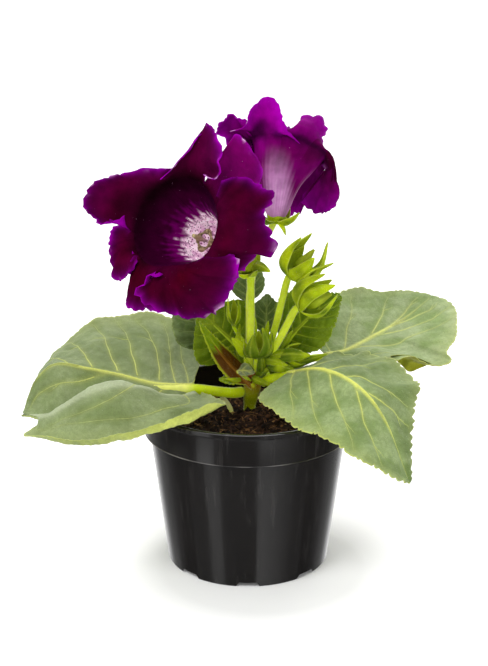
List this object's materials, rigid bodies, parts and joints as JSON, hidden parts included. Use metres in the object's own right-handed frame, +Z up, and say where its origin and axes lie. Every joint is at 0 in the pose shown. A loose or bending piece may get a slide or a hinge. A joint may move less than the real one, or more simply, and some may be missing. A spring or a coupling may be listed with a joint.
{
  "type": "potted gloxinia",
  "caption": "Potted gloxinia in a black plastic nursery pot: broad felted leaves, purple bell flowers with ruffled rims, and green buds.",
  "frame": {"origin": "on the ground at the pot's axis, under the middle of the whole plant's spread", "axes": "+Z up, -Y towards the side that the plant faces, +X to the right as seen from that side"},
  "size_m": [0.2463, 0.1762, 0.2567],
  "materials": {
    "pot_plastic": "glossy black injection-moulded plastic",
    "potting_soil": "moist fibrous potting mix",
    "leaf_green": "soft matte grey-green leaf with fine hairs",
    "young_leaf_green": "satin bright green young leaf and sepal",
    "stalk_green": "translucent yellow-green hairy stalk",
    "petal_purple": "velvety wine-purple petal with magenta rim",
    "pollen_cream": "matte cream pistil and stamens"
  },
  "bodies": {
    "root": {"pot": "pot_plastic", "potting_soil": "potting_soil", "main_stem": "stalk_green", "old_petiole_stub": "stalk_green", "leaf_left": "leaf_green", "leaf_right_front": "leaf_green", "leaf_right_back": "leaf_green", "leaf_upper_right": "young_leaf_green", "leaf_upper_left": "young_leaf_green", "leaf_folded": "young_leaf_green", "leaf_behind_stalks": "leaf_green", "leaf_back_right": "leaf_green", "leaf_back_left": "leaf_green", "leaflet_front": "young_leaf_green", "leaflet_left": "young_leaf_green", "flower_1_stalk": "stalk_green", "flower_1_calyx": "young_leaf_green", "flower_1_corolla": "petal_purple", "flower_1_pistil": "pollen_cream", "flower_1_stamens": "pollen_cream", "flower_2_stalk": "stalk_green", "flower_2_calyx": "young_leaf_green", "flower_2_corolla": "petal_purple", "flower_2_pistil": "pollen_cream", "flower_2_stamens": "pollen_cream", "bud_upper_stalk": "stalk_green", "bud_upper_calyx": "young_leaf_green", "bud_upper_petals": "petal_purple", "bud_front_stalk": "stalk_green", "bud_front_calyx": "young_leaf_green", "bud_front_petals": "petal_purple", "bud_small_centre_stalk": "stalk_green", "bud_small_centre_calyx": "young_leaf_green", "bud_small_right_stalk": "stalk_green", "bud_small_right_calyx": "young_leaf_green", "bud_small_back_stalk": "stalk_green", "bud_small_back_calyx": "young_leaf_green"}
  },
  "joints": []
}
